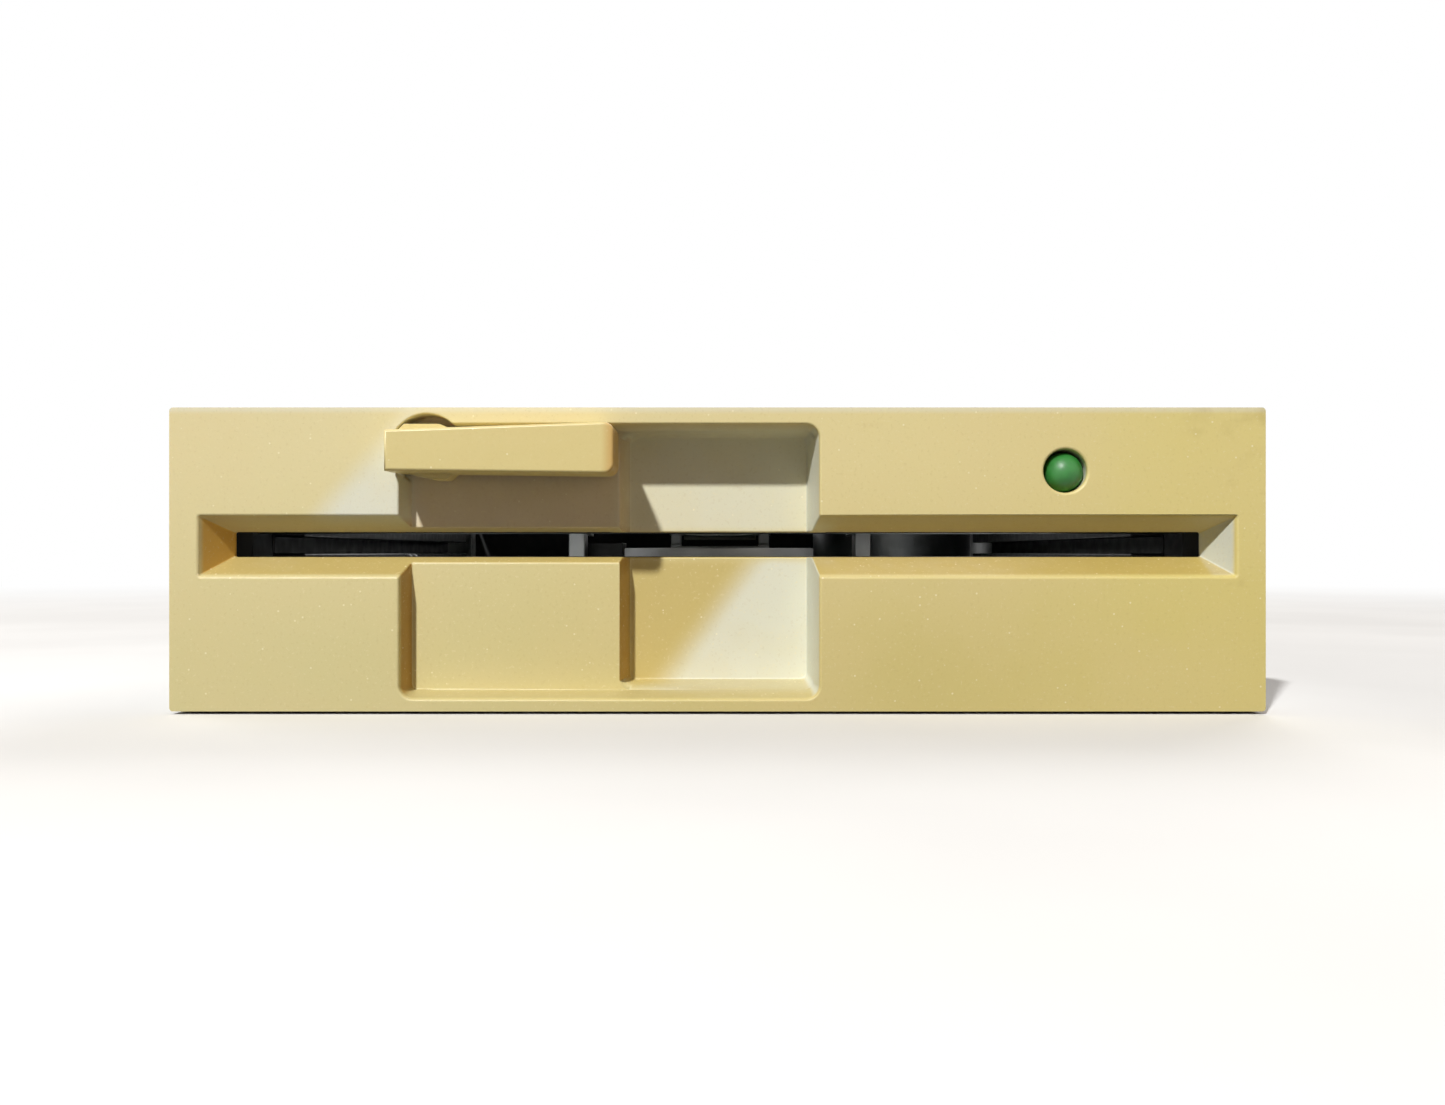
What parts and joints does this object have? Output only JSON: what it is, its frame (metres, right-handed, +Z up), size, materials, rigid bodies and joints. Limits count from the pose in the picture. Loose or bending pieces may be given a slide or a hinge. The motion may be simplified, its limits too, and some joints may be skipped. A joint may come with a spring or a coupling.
{
  "type": "floppy disk drive",
  "caption": "Half-height drive for 5.25-inch flexible disks, with a plastic front, a turning clamp lever, a cast chassis and an open circuit board on top.",
  "frame": {"origin": "centre of the four bottom mounting holes, in the plane of the chassis's underside", "axes": "+Z up, bezel facing -Y, +X to the right seen from the front"},
  "size_m": [0.1486, 0.2095, 0.0412],
  "materials": {
    "bezel_plastic": "yellowed fine-grained ABS",
    "lever_plastic": "yellowed ABS, slightly glossier",
    "black_plastic": "satin black",
    "white_plastic": "natural acetal and nylon",
    "green_lamp": "diffused green epoxy",
    "wire_cover": "PVC insulation",
    "sheet_steel": "zinc-plated sheet",
    "plated_screw": "zinc-plated",
    "ground_steel": "ground and polished",
    "cast_aluminium": "as-cast with machined faces",
    "brass": "turned",
    "board": "green glass-fibre board",
    "copper_coil": "enamelled copper wire, potted",
    "ferrite": "sintered ferrite",
    "motor_can": "plated steel can",
    "capacitor_sleeve": "shrink sleeve",
    "resistor_coat": "dipped resin"
  },
  "bodies": {
    "drive": {"bezel": "bezel_plastic", "bezel_screws": "plated_screw", "activity_led": "green_lamp", "led_holder": "black_plastic", "led_wires": "wire_cover", "front_bridge": "sheet_steel", "bridge_screws": "plated_screw", "shaft_bushes": "white_plastic", "front_guide": "black_plastic", "disk_guide_left": "black_plastic", "disk_guide_right": "black_plastic", "guide_screws": "plated_screw", "chassis": "cast_aluminium", "bearing_housing": "brass", "housing_screws": "plated_screw", "spindle_bearings": "ground_steel", "motor_board": "board", "motor_coils": "copper_coil", "motor_screws": "plated_screw", "guide_rods": "ground_steel", "rod_clamps": "sheet_steel", "rod_clamp_screws": "plated_screw", "stepper_body": "motor_can", "stepper_screws": "plated_screw", "track_zero_sensor": "black_plastic", "index_sensor": "black_plastic", "write_protect_sensor": "black_plastic", "main_board": "board", "board_screws": "plated_screw", "edge_contacts": "brass", "integrated_circuits": "black_plastic", "capacitors": "capacitor_sleeve", "resistor_pack": "resistor_coat", "jumper_header": "black_plastic", "power_connector": "white_plastic", "power_pins": "ground_steel", "crystal": "ground_steel", "board_connectors": "white_plastic", "ground_tab": "brass", "clamp_pins": "plated_screw"},
    "lever": {"lever": "lever_plastic", "lever_shaft": "ground_steel", "lever_cam": "white_plastic", "shaft_ring": "sheet_steel"},
    "clamp_arm": {"clamp_arm": "sheet_steel", "clamp_post": "plated_screw"},
    "clamp_hub": {"clamp_hub": "white_plastic"},
    "spindle": {"spindle_shaft": "ground_steel", "drive_hub": "cast_aluminium", "rotor": "sheet_steel", "rotor_magnet": "ferrite"},
    "carriage": {"carriage": "cast_aluminium", "carriage_bushes": "brass", "lower_head": "ferrite", "drive_band": "ground_steel", "arm_pin": "plated_screw"},
    "head_arm": {"head_arm": "sheet_steel", "upper_head": "ferrite"},
    "capstan": {"capstan": "cast_aluminium", "stepper_shaft": "ground_steel"}
  },
  "joints": [
    {"name": "lever_turn", "type": "hinge", "parent": "drive", "child": "lever", "pos_m": [-0.0394, -0.0923, 0.0353], "axis": [0, 1, 0], "range_deg": [0, 90]},
    {"name": "clamp_swing", "type": "hinge", "parent": "drive", "child": "clamp_arm", "pos_m": [0, 0.0497, 0.03], "axis": [1, 0, 0], "range_deg": [0, 3.85]},
    {"name": "clamp_hub_spin", "type": "hinge", "parent": "clamp_arm", "child": "clamp_hub", "pos_m": [0, -0.01948, 0.02958], "axis": [0, 0.0663, 0.9978], "continuous": true},
    {"name": "spindle_spin", "type": "hinge", "parent": "drive", "child": "spindle", "pos_m": [0, -0.0193, 0.01], "axis": [0, 0, 1], "continuous": true},
    {"name": "carriage_slide", "type": "slide", "parent": "drive", "child": "carriage", "axis": [0, -1, 0], "range_m": [0, 0.0206]},
    {"name": "head_arm_lift", "type": "hinge", "parent": "carriage", "child": "head_arm", "pos_m": [0, 0.07375, 0.0272], "axis": [1, 0, 0], "range_deg": [0, 5.05]},
    {"name": "capstan_turn", "type": "hinge", "parent": "drive", "child": "capstan", "pos_m": [0.046, 0.0748, 0.008], "axis": [0, 0, 1], "range_deg": [0, 141]}
  ],
  "couplings": [
    {"joint": "clamp_swing", "follows": "lever_turn", "ratio": 0.042222},
    {"joint": "head_arm_lift", "follows": "lever_turn", "ratio": 0.055556},
    {"joint": "capstan_turn", "follows": "carriage_slide", "rad_per_m": 118.76}
  ]
}
